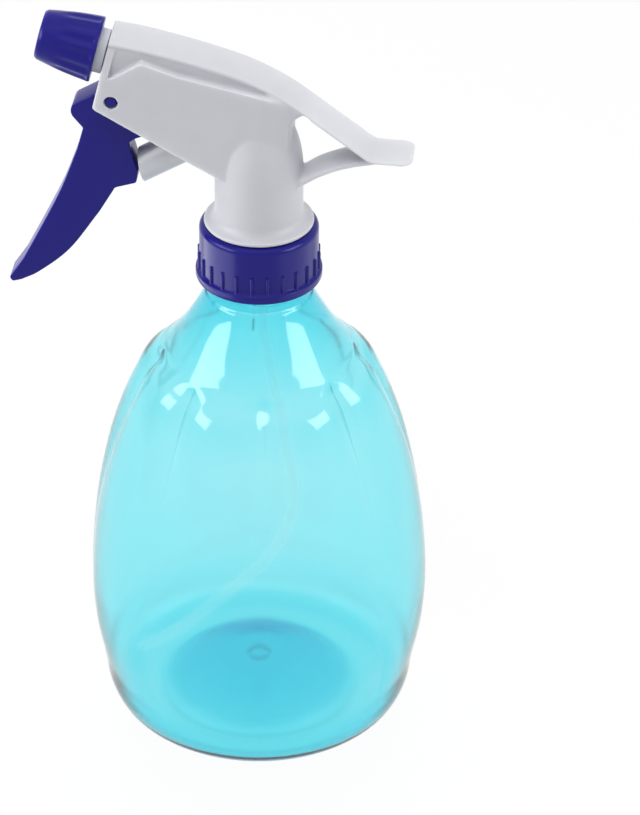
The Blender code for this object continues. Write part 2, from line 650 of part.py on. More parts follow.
def make_piston():
    """Turn the rod and head, and cut the rod end to the slant of the trigger's back."""
    piston = as_part(turned("piston", PISTON_FORM, 24), PALE_GREY_PP, PISTON_AXIS)
    depth = 12 * MM
    face = Matrix.Translation((0, 0, ROD_FACE)) @ Matrix.Rotation(ROD_FACE_SLANT, 4, "Y")
    tool = block("rod_face", (30 * MM, 30 * MM, depth), face @ Matrix.Translation((0, 0, -depth / 2)))
    combine(piston, as_tool(tool, PISTON_AXIS), "DIFFERENCE")
    return piston


def make_piston_cup():
    """Turn the two-lip seal in the piston's groove."""
    return as_part(turned("piston_cup", PISTON_CUP, 24), BLACK_RUBBER, PISTON_AXIS)


# Nozzle

def make_nozzle_holder():
    """Turn the collar, stem and plug, with the outlet ball's seat and chamber."""
    return as_part(turned("nozzle_holder", NOZZLE_HOLDER, 24), PALE_GREY_PP, NOZZLE_AXIS)


def make_swirl_insert():
    """Turn the plug behind the orifice and cut the slots that spin the liquid."""
    insert = as_part(turned("swirl_insert", SWIRL_INSERT, 20), PALE_GREY_PP, NOZZLE_AXIS)
    form = bmesh.new()
    for i in range(SWIRL_SLOTS):
        turn = Matrix.Rotation(TURN * i / SWIRL_SLOTS, 4, "Z")
        place = Matrix.Translation(SWIRL_SLOT_PLACE)
        size = Matrix.Diagonal((*SWIRL_SLOT_SIZE, 1))
        bmesh.ops.create_cube(form, size=1, matrix=turn @ place @ size)
    combine(insert, as_tool(mesh_object("swirl_slots", form), NOZZLE_AXIS), "DIFFERENCE")
    return insert


def make_nozzle_seal():
    """Turn the ring that seals the nozzle cap on the stem."""
    return as_part(turned("nozzle_seal", NOZZLE_SEAL, 24), BLACK_RUBBER, NOZZLE_AXIS)


def nozzle_ring(radius, height, flute=0.0):
    """One level of the nozzle cap, with soft flutes."""
    ring = []
    for i in range(NOZZLE_SEGMENTS):
        angle = TURN * i / NOZZLE_SEGMENTS
        r = radius - flute * (0.5 + 0.5 * math.cos(FLUTES * angle))
        ring.append((r * math.cos(angle), r * math.sin(angle), height))
    return ring


def make_nozzle_cap():
    """Loft the cap: from the orifice over the front edge, down the fluted side and up the bore."""
    face = [nozzle_ring(r * MM, u * MM) for r, u in NOZZLE_FACE]
    rise_from, rise_to, fade_from, fade_to = FLUTE_SPAN
    side = []
    for r, u in NOZZLE_SIDE:
        flute = FLUTE_DEPTH * blend(u, rise_from, rise_to) * blend(-u, -fade_to, -fade_from)
        side.append(nozzle_ring(r * MM, u * MM, flute))
    bore = [nozzle_ring(NOZZLE_BORE, NOZZLE_RIM), nozzle_ring(NOZZLE_BORE, NOZZLE_BORE_END),
            nozzle_ring(NOZZLE_ORIFICE, NOZZLE_BORE_END)]
    return as_part(loft("nozzle_cap", face + side + bore, cyclic=True), BLUE_PP, NOZZLE_AXIS)


# Assembly

HEAD_LIFT = axis_empty("head_lift", Vector((0, 0, 0)))
NOZZLE_AXIS = axis_empty("nozzle_axis", NOZZLE_ORIGIN,
                         Vector((-math.cos(NOZZLE_TILT), 0, math.sin(NOZZLE_TILT))), HEAD_LIFT)
PISTON_AXIS = axis_empty("piston_axis", PISTON_ORIGIN,
                         Vector((math.cos(PISTON_TILT), 0, math.sin(PISTON_TILT))), HEAD_LIFT)

make_bottle()
make_cap()
make_gasket()
make_tube()
make_tube_holder()
as_part(ball("inlet_ball", INLET_BALL, INLET_BALL_HEIGHT), STEEL, HEAD_LIFT)
make_sprayer_body()
make_trigger()
make_piston()
make_piston_cup()
as_part(coil("return_spring", SPRING_WIRE, SPRING_RADIUS, SPRING_SPAN, SPRING_TURNS), STEEL, PISTON_AXIS)
make_nozzle_holder()
as_part(ball("outlet_ball", OUTLET_BALL, OUTLET_BALL_PLACE), STEEL, NOZZLE_AXIS)
as_part(coil("outlet_spring", OUTLET_WIRE, OUTLET_SPRING_RADIUS, OUTLET_SPRING_SPAN, OUTLET_TURNS), STEEL,
        NOZZLE_AXIS)
make_swirl_insert()
make_nozzle_seal()
make_nozzle_cap()
bpy.context.view_layer.update()
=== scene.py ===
"""Trigger spray bottle, dressed: fine meshes, clear and moulded plastics, and a soft studio.

Metres, +Z up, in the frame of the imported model. The object's lengths are named in millimetres and scaled by
MM. The camera, lights and floor are in metres.
"""
import json
import math

import bmesh
import bpy
import numpy as np
from mathutils import Matrix, Vector


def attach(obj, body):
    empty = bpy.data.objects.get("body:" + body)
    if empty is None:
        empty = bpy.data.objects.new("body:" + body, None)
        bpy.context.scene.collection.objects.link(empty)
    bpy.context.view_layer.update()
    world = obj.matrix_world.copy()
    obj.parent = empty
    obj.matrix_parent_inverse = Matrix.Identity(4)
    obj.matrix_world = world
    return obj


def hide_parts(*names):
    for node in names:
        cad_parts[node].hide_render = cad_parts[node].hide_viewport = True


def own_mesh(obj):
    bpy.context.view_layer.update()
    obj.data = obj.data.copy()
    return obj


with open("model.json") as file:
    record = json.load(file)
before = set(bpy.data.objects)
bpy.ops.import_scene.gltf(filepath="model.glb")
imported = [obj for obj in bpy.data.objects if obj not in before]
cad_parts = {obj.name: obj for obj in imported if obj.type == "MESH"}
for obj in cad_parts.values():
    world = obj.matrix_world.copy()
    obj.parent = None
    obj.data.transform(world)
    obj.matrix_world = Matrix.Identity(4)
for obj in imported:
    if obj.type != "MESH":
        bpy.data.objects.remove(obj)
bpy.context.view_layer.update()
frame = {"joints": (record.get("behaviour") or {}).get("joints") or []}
JOINTS = {joint["name"]: joint for joint in frame["joints"]}

MM = 0.001
TURN = 2 * math.pi

# Bottle: heights and outer radii of the lobes' crests in mm, from the foot to their top and on to the neck
LOBE_TOP = 112.3
LOBE_TOP_RADIUS = 25.3
BOTTLE_LOBES = [(0, 34.4), (0.6, 37.2), (2.2, 39.5), (5, 41.2), (9, 42.4), (15, 43.2), (27, 45.5),
                (40, 46.35), (54, 45.6), (68, 43.9), (82, 41.0), (93, 37.5), (101, 34.2), (106.5, 31.5),
                (110, 27.9), (LOBE_TOP, LOBE_TOP_RADIUS)]
BOTTLE_CONE = [(LOBE_TOP, LOBE_TOP_RADIUS), (118, 20.9), (126, 16.25), (130.2, 14.25)]
LOBES = 8
LOBE_PHASE = math.radians(-80)
BOTTLE_SEGMENTS = 320
# Creases between the lobes, in mm: they begin over one span of heights and deepen over a higher one
CREASE_DEPTH = 3.0
CREASE_SHARPNESS = 1.6
CREASE_START = (15, 23)
CREASE_GROWTH = (45, 106)
CREASE_POWER = 1.6
CREASE_LEAST = 0.18    # share of the depth between the two spans
CREASE_RUN_OUT = 4.5   # height below the lobes' top over which they end
# Wall thickness by height, in mm: thick at the foot, thin on the blown lobes, thick again at the neck
WALL = [(0, 1.5), (5, 1.1), (15, 0.75), (40, 0.55), (95, 0.6), (110, 0.95), (126, 1.6), (131.6, 1.8)]
# Underside, as (radius, height) in mm: gate mark, raised centre and the slope to the standing ring
UNDERSIDE = [(0.3, 7.6), (2.2, 7.6), (2.9, 7.75), (3.7, 7.6), (9.0, 7.45), (12.0, 7.0), (15.0, 6.1),
             (18, 4.8), (21, 3.2), (23.5, 1.75), (25.0, 0.8), (25.9, 0.2), (26.6, 0.02), (28.5, 0)]
# Inside of the base in mm: its thickness by radius, the corner around it as (radius, height), and the height
# where the inner wall starts
BASE_WALL = [(0, 3.3), (20, 3.3), (24, 3.0), (26.5, 1.6)]
INSIDE_CORNER = [(29.0, 1.25), (33.5, 1.25), (37.0, 2.2)]
INSIDE_FOOT = 3.5
# Neck in mm: rim as (radius past the bore, height past the top), band as (radius, height), and thread
NECK_TOP = 146.0
NECK_RADIUS = 12.6
NECK_BORE = 10.8
NECK_LEVELS = 46
NECK_RIM = [(0, -0.4), (0.15, -0.1), (0.4, 0), (1.4, 0), (1.65, -0.1), (1.8, -0.4)]
NECK_BAND = [(12.7, 134.9), (13.8, 134.7), (14.1, 134.3), (14.1, 131.3), (13.6, 130.9), (13.7, 130.5)]
THREAD_LEAD = 4.24
THREAD_TURNS = 1.6
THREAD_HEIGHT = 0.9
THREAD_HALF = 0.95
THREAD_FLANK = 0.7      # share of the half width that slopes
THREAD_RUN_OUT = 0.08   # share of a turn over which each end fades
THREAD_FOOT = 137.0

# Dip tube: radius, wall and route in mm
TUBE_RADIUS = 2.0
TUBE_WALL = 0.7
TUBE_ROUTE = [(0, 0, 149.6), (0, 0, 138), (0.9, 0, 120), (4.8, 1.0, 94), (8.6, 2.6, 71), (9.0, 3.8, 57.5),
              (5.8, 4.2, 46.6), (0.4, 4.1, 37.9), (-6.6, 3.5, 30.4), (-14.5, 2.6, 22.7), (-24, 1.2, 14.6),
              (-34.5, 0, 8)]

# Screw cap, in mm
CAP_RADIUS = 15.75
CAP_BOTTOM = 135.2
CAP_TOP = 151.0
CAP_BORE = 14.1
CAP_OPENING = 11.2
CAP_LIP = 1.7
CAP_EDGE_ROUND = 1.6
CAP_FLARE = 1.0
CAP_FLARE_TOP = 137.4
RIBS = 24
RIB_SEGMENTS = 24
RIB_TOP = 142.8
RIB_HALF = 0.5
RIB_PROUD = 0.6

# Column of the pump head, in mm
COLUMN_RADIUS = 11.6
COLUMN_FLARE = 14.5
COLUMN_FOOT = 151.3
COLUMN_SEGMENTS = 128
FLARE_TOP = 3.9
FLARE_RISE = 2.9
DOME_START = 167.0
DOME_HEIGHT = 20.0
SNAP_FLANGE = [(10.9, 149.0), (13.0, 149.0), (13.0, 147.6), (0, 147.6)]
HOLDER_BORE = (6.2, 146.6, 158.4)
INLET_BORE = (1.6, 157.4, 180.0)

# Moulding of the pump head: half widths, and side outlines of (x, z) or (x, z, corner radius), in mm
CHEEK_HALF = 8.7
CORE_HALF = 6.2
RAIL_HALF = 6.5
STRUT_HALF = 5.2
SLOT_HALF = 6.7
CHEEK_OUTLINE = [(-42.2, 186.2, 0.9), (-9.0, 167.2, 0), (0, 165.5, 0), (7.0, 168.0, 0), (8.9, 178.5, 3),
                 (8.9, 184.2, 1.3), (13.0, 186.3, 0), (4.5, 191.6, 0), (-20.5, 197.2, 0),
                 (-29.3, 200.3, 1.5), (-37.6, 195.2, 0)]
# Back of the cheeks from above, as (x, half width, corner radius), and the heights that this outline spans
CHEEK_BACK = [(2.5, 8.7, 8), (10.4, 5.9, 3), (13.4, 4.6, 0)]
CHEEK_FRONT = -46
CHEEK_SPAN = (160, 206)
RAIL_EDGE = [(-37.9, 204.3), (-30.3, 203.2), (-20.7, 201.1), (-11.5, 198.7), (-4, 196.3), (1.6, 193.9),
             (6.5, 191.3), (11, 188.4), (18, 183.2), (25.2, 177.9), (28.2, 175.6), (29.8, 174.7),
             (31.6, 174.4), (40.3, 174.3)]
CORE_FOOT = [(9.0, 183.0), (0, 176.0), (-41.0, 189.5)]
CORE_SINK = 0.3
RAIL_SIDE = 0.8
TAIL_SIDE = 0.7
RAIL_CROWN = 1.5
TAIL_CROWN = 0.6
TAIL_BLEND = (4.0, 13.0)
TAIL_CORNER = 3.2
STRUT_UPPER = [(8.0, 164.8), (11.3, 167.1), (15.3, 169.8), (20.8, 172.3), (28.2, 174.7)]
STRUT_LOWER = [(9.6, 162.6), (12.7, 165.0), (16.6, 167.6), (21.8, 170.1), (27.1, 171.7), (32.1, 172.6),
               (38.0, 173.8)]
STRUT_FULLNESS = 2.8   # exponent of the section: 2 is an ellipse, and more is squarer
STRUT_SEGMENTS = 48
FLANGE_THICK = 2.0
FLANGE_OUTLINE = [(-12.4, -8.7, 0), (-12.4, 8.7, 0), (-2.0, 8.7, 4), (4.6, 6.5, 3), (6.9, 3.0, 3),
                  (6.9, -3.0, 3), (4.6, -6.5, 3), (-2.0, -8.7, 4)]
SLOT_OUTLINE = [(-50, 193.0), (-33.4, 193.0), (-28.5, 188.0)]
SLOT_FLOOR = [(-14.0, 163.0), (-50, 163.0)]
PUMP_BORE = 5.6
PUMP_WALL = 6.7
PUMP_SPAN = (16.9, 36.0)
PLUG_BORE = (4.2, 9.0)
OUTLET_BORE = (1.6, 37.0)
PIN_HOLE = 1.8
MOULD_VOXEL = 0.28 * MM
MOULD_KEPT = 0.45      # share of the remeshed faces that is kept
MOULD_EASING = 0.5
# Rounds of easing: over all edges, then within the wider fillets
MOULD_ROUNDS = {"edges": 5, "dome": 40, "back": 100, "root": 60}
# Wider fillets along x (span), z (rise) and y (side) in mm. Four values say where one starts, is full,
# begins to fade and ends. Two say where it starts and is full.
DOME_SPAN = (-17, -13, 8, 12)
DOME_RISE = (164, 168, 188, 191)
DOME_SIDE = (7.4, 8.2)
DOME_FRONT = 0.35        # share that is left in front of DOME_GROWTH, which is along x
DOME_GROWTH = (-6, 4)
BACK_SPAN = (2, 5, 13, 14.5)
BACK_RISE = (168, 172)
BACK_DROP = (0, 0.8)     # below the rail's edge
BACK_SIDE = (3.6, 5.2)
ROOT_SPAN = (6.5, 8.5, 11, 14)
ROOT_RISE = (159, 161.5, 170, 172)

# Trigger: side outlines in mm
TRIGGER_HALF = 3.8
TRIGGER_HEAD = [(-38.6, 192.2, 2.4), (-34.0, 191.4, 3.0), (-29.0, 181.0, 2.0), (-29.9, 176.2, 0.8),
                (-31.8, 175.4, 0.4), (-33.4, 174.2, 0.4), (-33.3, 172.2, 0.5), (-32.5, 169.2, 0.8),
                (-31.3, 165.6, 1.0), (-31.8, 162.2, 0.9), (-37.4, 160.4, 1.5)]
TRIGGER_BACK = [(-41.7, 152.8), (-49.8, 140.9), (-58.0, 133.4), (-63.0, 130.4)]
TRIGGER_TIP = [(-65.6, 129.6, 0.8), (-66.3, 130.9, 0.8)]
TRIGGER_FRONT = [(-62.4, 136.9), (-56.7, 148.4), (-51.6, 159.4), (-47.2, 171.3)]
TRIGGER_NOSE = [(-45.5, 177.7, 0.8), (-48.9, 181.8, 3.0), (-48.2, 184.5, 2.6), (-40.5, 189.1, 2.0)]
TRIGGER_EDGE = 0.7
# Boss and pin of the trunnions, as (radius, half length), and their edge
BOSS = (3.0, 6.4)
PIN = (1.45, 8.4)
PIN_EDGE = 0.3
CHANNEL_HALF = 2.3
CHANNEL_OUTLINE = [(-40.5, 158.6, 1.5), (-49.2, 158.6, 2.0), (-58.4, 139.4, 2.0), (-57.0, 136.4, 0.8),
                   (-54.0, 134.0, 0), (-38.5, 151.0, 0)]

# Piston axis and turned forms along it, as (radius, place) in mm
PISTON_ORIGIN = Vector((-30.0, 0, 166.45)) * MM
PISTON_FORM = [(0, 26.0), (2.4, 26.0), (2.4, 23.2), (4.9, 23.2), (4.9, 22.4), (3.7, 22.4), (3.7, 19.8),
               (5.2, 19.8), (5.2, 18.2), (4.45, 17.8), (4.45, -5.0), (0, -5.0)]
ROD_FACE = -0.85
ROD_FACE_SLANT = math.atan(0.33)
ROD_FACE_CUT = (15, 12)   # half width and depth of the block that cuts the face
ROD_EDGE = 0.25
PISTON_CUP = [(5.3, 22.1), (4.8, 21.1), (5.3, 20.1), (4.0, 20.1), (4.0, 22.1)]

# Nozzle axis: turned forms along it, as (radius, height above the front face) in mm
NOZZLE_HOLDER = [(5.1, 13.0), (5.5, 12.6), (5.5, 4.0), (5.85, 3.7), (5.85, 0.3), (3.9, 0.3), (3.9, -8.5),
                 (1.1, -8.5), (1.1, -6.0), (2.3, -4.8), (2.3, 13.0)]
SWIRL_INSERT = [(0, 14.4), (3.3, 14.4), (3.6, 14.1), (3.6, 13.3), (2.0, 13.3), (2.0, 5.3), (0, 5.3)]
NOZZLE_SEAL = [(5.9, 15.7), (5.9, 14.7), (4.2, 14.7), (4.2, 15.7)]
NOZZLE_SIDE = [(6.6, 17.05), (7.15, 14.3), (7.85, 10.8), (8.35, 7.0), (8.65, 3.9), (8.7, 3.1), (8.5, 2.6)]
NOZZLE_FACE = [(0.5, 17.15), (2.8, 17.95), (5.3, 17.95), (6.1, 17.75)]
NOZZLE_RIM = 2.6
NOZZLE_BORE = 6.2
NOZZLE_BORE_END = 16.0
NOZZLE_ORIFICE = 0.5
NOZZLE_SEGMENTS = 224
FLUTES = 14
FLUTE_DEPTH = 0.45
FLUTE_SPAN = (2.6, 4.2, 9.0, 14.5)   # heights where they start, are full, begin to fade and end

# Plug in the column and washer on the neck, as (radius, height) in mm
TUBE_HOLDER = [(5.9, 157.9), (5.9, 147.3), (9.8, 147.3), (9.8, 146.3), (3.8, 146.3), (3.8, 139.0),
               (2.3, 139.0), (2.3, 150.0), (1.4, 150.0), (1.4, 152.2), (2.6, 153.4), (2.6, 157.9)]
NECK_GASKET = [(13.6, 147.3), (13.6, 146.3), (10.9, 146.3), (10.9, 147.3)]

# Springs: wire radius, coil radius, span along the axis in mm, and turns
RETURN_SPRING = (0.35, 3.9, (23.85, 35.35), 4)
OUTLET_SPRING = (0.22, 1.75, (-2.28, 4.75), 4)
SPRING_STEPS = 36      # along each turn
WIRE_SEGMENTS = 12
# Check balls: radius and place along the axis in mm
BALL_SEGMENTS = 48
INLET_BALL = (2.0, 154.05)
OUTLET_BALL = (1.6, -4.41)

# Photograph's camera: image size and focal length in pixels, the place it was taken from and its aim
IMAGE_SIZE = (640, 815)
FOCAL_PIXELS = 4082
CAMERA_TURN = math.radians(7)
CAMERA_REACH = 0.92
CAMERA_HEIGHT = 0.70
CAMERA_YAW = math.radians(5.975)
CAMERA_PITCH = math.radians(33.443)
CAMERA_ROLL = math.radians(0.565)
SENSOR = 36.0

# White room: the share of its light that falls on matt surfaces, and the floor's half width, shade and glow
ROOM_MATT = 0.2
FLOOR_HALF = 4
FLOOR_SHADE = 0.2
FLOOR_GLOW = 0.73
# Lights, as name, place, size in metres, watts, if gloss shows them and if they light matt surfaces
LIGHTS = [("left_card", (-0.82, -0.42, 0.56), (0.64, 0.46), 5.6, True, False),
          ("right_card", (0.90, -0.26, 0.56), (0.60, 0.46), 5.0, True, False),
          ("left_wash", (-1.0, 0.10, 0.24), (0.6, 0.4), 9.5, False, True),
          ("right_wash", (1.0, 0.30, 0.24), (0.6, 0.4), 3.0, False, True),
          ("front_wash", (0, -0.55, 1.25), (1.0, 0.6), 6.5, False, True),
          ("top_box", (0, 0.15, 1.5), (1.6, 1.6), 13.4, False, True)]
LIGHT_AIM = (0, 0, 0.12)
# Cards that only the screw cap's gloss shows, as name, place and watts
CAP_CARDS = [("left_low_card", (-0.19, -0.03, 0.03), 0.19), ("right_low_card", (0.20, -0.02, 0.03), 0.05)]
CAP_CARD_SIZE = (0.32, 0.08)
CAP_CARD_AIM = (0, 0, 0.143)


def axis_matrix(origin, direction):
    """A frame at a point whose local Z runs along a direction in the XZ plane."""
    turn = math.atan2(direction[0], direction[2])
    return Matrix.Translation(Vector(origin)) @ Matrix.Rotation(turn, 4, "Y")


NOZZLE_AXIS = axis_matrix(JOINTS["nozzle_turn"]["pos_m"], JOINTS["nozzle_turn"]["axis"])
PISTON_AXIS = axis_matrix(PISTON_ORIGIN, JOINTS["piston_stroke"]["axis"])
PIVOT = Vector(JOINTS["trigger_pull"]["pos_m"])
UPRIGHT = Matrix.Identity(4)


# Curves and outlines

def blend(value, low, high):
    """Ease from 0 at low to 1 at high."""
    t = np.clip((value - low) / (high - low), 0.0, 1.0)
    return t * t * (3 - 2 * t)


def zone(value, start, full, fade, end):
    """Ease from 0 at start to 1 at full, and from 1 at fade back to 0 at end."""
    return blend(value, start, full) * blend(end - value, 0, end - fade)


def spline(points, steps):
    """Run a smooth curve through points of any dimension, with even steps in each span."""
    rows = [np.array(p, float) for p in points]
    rows = [2 * rows[0] - rows[1]] + rows + [2 * rows[-1] - rows[-2]]
    path = []
    for a, b, c, d in zip(rows, rows[1:], rows[2:], rows[3:]):
        for i in range(steps):
            t = i / steps
            path.append(0.5 * (2 * b + (c - a) * t + (2 * a - 5 * b + 4 * c - d) * t ** 2
                               + (3 * b - a - 3 * c + d) * t ** 3))
    path.append(rows[-2])
    return path


def rounded(corners, steps=6):
    """Turn (x, z, radius) corners into an outline with an arc at each rounded one."""
    outline = []
    count = len(corners)
    for i, (x, z, radius) in enumerate(corners):
        here = Vector((x, z))
        before = Vector(corners[i - 1][:2]) - here
        after = Vector(corners[(i + 1) % count][:2]) - here
        half = before.angle(after) / 2
        if radius == 0 or half > math.radians(89):
            outline.append(here)
            continue
        before.normalize()
        after.normalize()
        reach = radius / math.tan(half)
        centre = here + (before + after).normalized() * radius / math.sin(half)
        start = here + before * reach - centre
        sweep = start.angle_signed(here + after * reach - centre)
        for k in range(steps + 1):
            outline.append(centre + Matrix.Rotation(-sweep * k / steps, 2) @ start)
    return outline


# Meshes

def keep(obj):
    """Put an object in the scene."""
    bpy.context.scene.collection.objects.link(obj)
    return obj


def finish_mesh(name, mesh, sharp_angle=35):
    """Face a mesh outwards, shade it and make it an object."""
    form = bmesh.new()
    form.from_mesh(mesh)
    bmesh.ops.recalc_face_normals(form, faces=form.faces)
    form.to_mesh(mesh)
    form.free()
    mesh.shade_smooth()
    mesh.set_sharp_from_angle(angle=math.radians(sharp_angle))
    return keep(bpy.data.objects.new(name, mesh))


def skin(name, rings, cyclic=False, place=UPRIGHT, sharp_angle=35):
    """Skin equal rings of points in mm, capped at both ends or closed into a tube."""
    rows, count = len(rings), len(rings[0])
    faces = []
    for low in range(rows if cyclic else rows - 1):
        high = (low + 1) % rows
        for i in range(count):
            j = (i + 1) % count
            faces.append((low * count + i, low * count + j, high * count + j, high * count + i))
    if not cyclic:
        faces.append(tuple(range(count)))
        faces.append(tuple(range((rows - 1) * count, rows * count)))
    mesh = bpy.data.meshes.new(name)
    mesh.from_pydata((np.concatenate(rings) * MM).tolist(), [], faces)
    mesh.transform(place)
    return finish_mesh(name, mesh, sharp_angle)


def circle(radius, height, angles):
    """A ring of points at a height; the radius may be one number or one for each angle."""
    return np.stack([radius * np.cos(angles), radius * np.sin(angles), height + 0 * angles], axis=1)


def turned(name, profile, place=UPRIGHT, edge=0.15, segments=96):
    """Turn a closed profile of (radius, height) in mm about local Z, with softened edges."""
    angles = TURN * np.arange(segments) / segments
    solid = profile[0][0] == 0
    corners = [(max(r, 0.01), z, 0 if r == 0 else edge) for r, z in profile]
    outline = rounded(corners, 3)
    return skin(name, [circle(p[0], p[1], angles) for p in outline], not solid, place)


def plate(name, outline, half_width):
    """Extrude a side outline of (x, z) in mm to both sides of the XZ plane."""
    rings = [np.array([(p[0], y, p[1]) for p in outline]) for y in (-half_width, half_width)]
    return skin(name, rings)


def bar(name, start, end, radius, segments=64):
    """A round bar between two points in mm."""
    run = Vector(end) - Vector(start)
    angles = TURN * np.arange(segments) / segments
    place = Matrix.Translation(Vector(start) * MM) @ run.to_track_quat("Z", "Y").to_matrix().to_4x4()
    return skin(name, [circle(radius, 0, angles), circle(radius, run.length, angles)], place=place)


def sweep(name, path, radii, segments, place=UPRIGHT):
    """Sweep circles along a path in mm: one radius makes a rod, two make a tube with a bore."""
    path = np.array(path)
    along = np.gradient(path, axis=0)
    along /= np.linalg.norm(along, axis=1)[:, None]
    angles = TURN * np.arange(segments) / segments
    side = np.cross(along[0], (0, 1, 0.3))
    loops = [[] for _ in radii]
    for point, forward in zip(path, along):
        side = side - forward * np.dot(side, forward)
        side /= np.linalg.norm(side)
        across = np.cross(forward, side)
        ring = np.cos(angles)[:, None] * side + np.sin(angles)[:, None] * across
        for loop, radius in zip(loops, radii):
            loop.append(point + radius * ring)
    if len(radii) == 1:
        return skin(name, loops[0], place=place)
    return skin(name, loops[0] + loops[1][::-1], True, place)


def bake(obj):
    """Apply an object's modifiers to its mesh."""
    graph = bpy.context.evaluated_depsgraph_get()
    mesh = bpy.data.meshes.new_from_object(obj.evaluated_get(graph))
    obj.modifiers.clear()
    obj.data = mesh
    return obj


def combine(target, tools, operation):
    """Join solids to a piece or cut them out of it, one after another, and drop them."""
    for tool in tools:
        step = target.modifiers.new(tool.name, "BOOLEAN")
        step.operation = operation
        step.solver = "EXACT"
        step.object = tool
        bake(target)
        bpy.data.objects.remove(tool, do_unlink=True)
    return target


def bevel(obj, width, segments=4, angle=50):
    """Round an object's sharp edges."""
    step = obj.modifiers.new("edge", "BEVEL")
    step.width = width * MM
    step.segments = segments
    step.limit_method = "ANGLE"
    step.angle_limit = math.radians(angle)
    return bake(obj)


# Materials

def new_material(name, colour, roughness):
    """A Principled material with its plain values set on the shader."""
    mat = bpy.data.materials.new(name)
    mat.use_nodes = True
    shader = mat.node_tree.nodes["Principled BSDF"]
    shader.inputs["Base Color"].default_value = (*colour, 1.0)
    shader.inputs["Roughness"].default_value = roughness
    return mat, shader


def noise(mat, scale, detail=2.0, stretch=(1, 1, 1)):
    """Noise over the object's coordinates, with so many features a metre."""
    nodes, links = mat.node_tree.nodes, mat.node_tree.links
    coords = nodes.new("ShaderNodeTexCoord")
    mapping = nodes.new("ShaderNodeMapping")
    mapping.inputs["Scale"].default_value = stretch
    texture = nodes.new("ShaderNodeTexNoise")
    texture.inputs["Scale"].default_value = scale
    texture.inputs["Detail"].default_value = detail
    links.new(coords.outputs["Object"], mapping.inputs["Vector"])
    links.new(mapping.outputs["Vector"], texture.inputs["Vector"])
    return texture.outputs["Fac"]


def tint(mat, shader, factor, dark, light):
    """Vary the base colour between two shades."""
    ramp = mat.node_tree.nodes.new("ShaderNodeValToRGB")
    ramp.color_ramp.elements[0].position = 0.3
    ramp.color_ramp.elements[0].color = (*dark, 1.0)
    ramp.color_ramp.elements[1].position = 0.7
    ramp.color_ramp.elements[1].color = (*light, 1.0)
    mat.node_tree.links.new(factor, ramp.inputs["Fac"])
    mat.node_tree.links.new(ramp.outputs["Color"], shader.inputs["Base Color"])


def gloss(mat, shader, factor, low, high):
    """Vary the roughness between two values."""
    spread = mat.node_tree.nodes.new("ShaderNodeMapRange")
    spread.inputs["To Min"].default_value = low
    spread.inputs["To Max"].default_value = high
    mat.node_tree.links.new(factor, spread.inputs["Value"])
    mat.node_tree.links.new(spread.outputs["Result"], shader.inputs["Roughness"])


def bump(mat, shader, factor, strength, depth):
    """Raise the surface by a texture, with its depth in mm."""
    node = mat.node_tree.nodes.new("ShaderNodeBump")
    node.inputs["Strength"].default_value = strength
    node.inputs["Distance"].default_value = depth * MM
    mat.node_tree.links.new(factor, node.inputs["Height"])
    mat.node_tree.links.new(node.outputs["Normal"], shader.inputs["Normal"])


def scaled(colour, share):
    """A lighter or darker shade of a colour."""
    return tuple(min(1.0, c * share) for c in colour)


def clear_cyan():
    """Tinted clear PET: the colour deepens with the wall, and the blown surface is a little wavy."""
    mat, shader = new_material("clear_cyan", (1.0, 1.0, 1.0), 0.03)
    shader.inputs["Transmission Weight"].default_value = 1.0
    shader.inputs["IOR"].default_value = 1.5
    gloss(mat, shader, noise(mat, 60), 0.05, 0.11)
    bump(mat, shader, noise(mat, 45, 1.0, (1, 1, 0.5)), 0.25, 0.12)
    absorption = mat.node_tree.nodes.new("ShaderNodeVolumeAbsorption")
    absorption.inputs["Color"].default_value = (0.23, 0.9, 0.95, 1.0)
    absorption.inputs["Density"].default_value = 1250.0
    output = mat.node_tree.nodes["Material Output"]
    mat.node_tree.links.new(absorption.outputs["Volume"], output.inputs["Volume"])
    return mat


def clear_tube():
    """Milky clear polyethylene of the dip tube, with faint draw lines."""
    colour = (0.90, 0.97, 0.98)
    mat, shader = new_material("clear_tube", colour, 0.3)
    shader.inputs["IOR"].default_value = 1.5
    shader.inputs["Alpha"].default_value = 0.045
    tint(mat, shader, noise(mat, 250), scaled(colour, 0.92), colour)
    gloss(mat, shader, noise(mat, 400), 0.22, 0.4)
    bump(mat, shader, noise(mat, 900, 1.0, (1, 1, 0.1)), 0.15, 0.05)
    return mat


def moulded(name, colour, roughness, grain=0.1):
    """Moulded polypropylene: soft cloudy shade, uneven gloss and a fine skin."""
    mat, shader = new_material(name, colour, roughness[0])
    shader.inputs["IOR"].default_value = 1.49
    tint(mat, shader, noise(mat, 140, 3.0), scaled(colour, 0.985), scaled(colour, 1.015))
    gloss(mat, shader, noise(mat, 320, 3.0), *roughness)
    bump(mat, shader, noise(mat, 2600, 2.0), grain, 0.03)
    return mat, shader


def blue_plastic():
    """Deep blue, glossy polypropylene of cap, trigger and nozzle."""
    mat, shader = moulded("blue", (0.008, 0.006, 0.2), (0.18, 0.26), 0.06)
    shader.inputs["Specular IOR Level"].default_value = 0.22
    return mat


def white_plastic():
    """Satin white polypropylene of the pump head, which lets a little light in."""
    mat, shader = moulded("white", (0.615, 0.62, 0.66), (0.34, 0.46))
    shader.inputs["Subsurface Weight"].default_value = 0.6
    shader.inputs["Subsurface Radius"].default_value = (1.0, 1.0, 1.0)
    shader.inputs["Subsurface Scale"].default_value = 3.0 * MM
    return mat


def pale_plastic():
    """Pale natural plastic of the inner mouldings."""
    mat, shader = moulded("pale_grey", (0.56, 0.58, 0.62), (0.32, 0.42))
    shader.inputs["Subsurface Weight"].default_value = 0.15
    shader.inputs["Subsurface Radius"].default_value = (1.0, 1.0, 1.0)
    shader.inputs["Subsurface Scale"].default_value = 1.0 * MM
    return mat


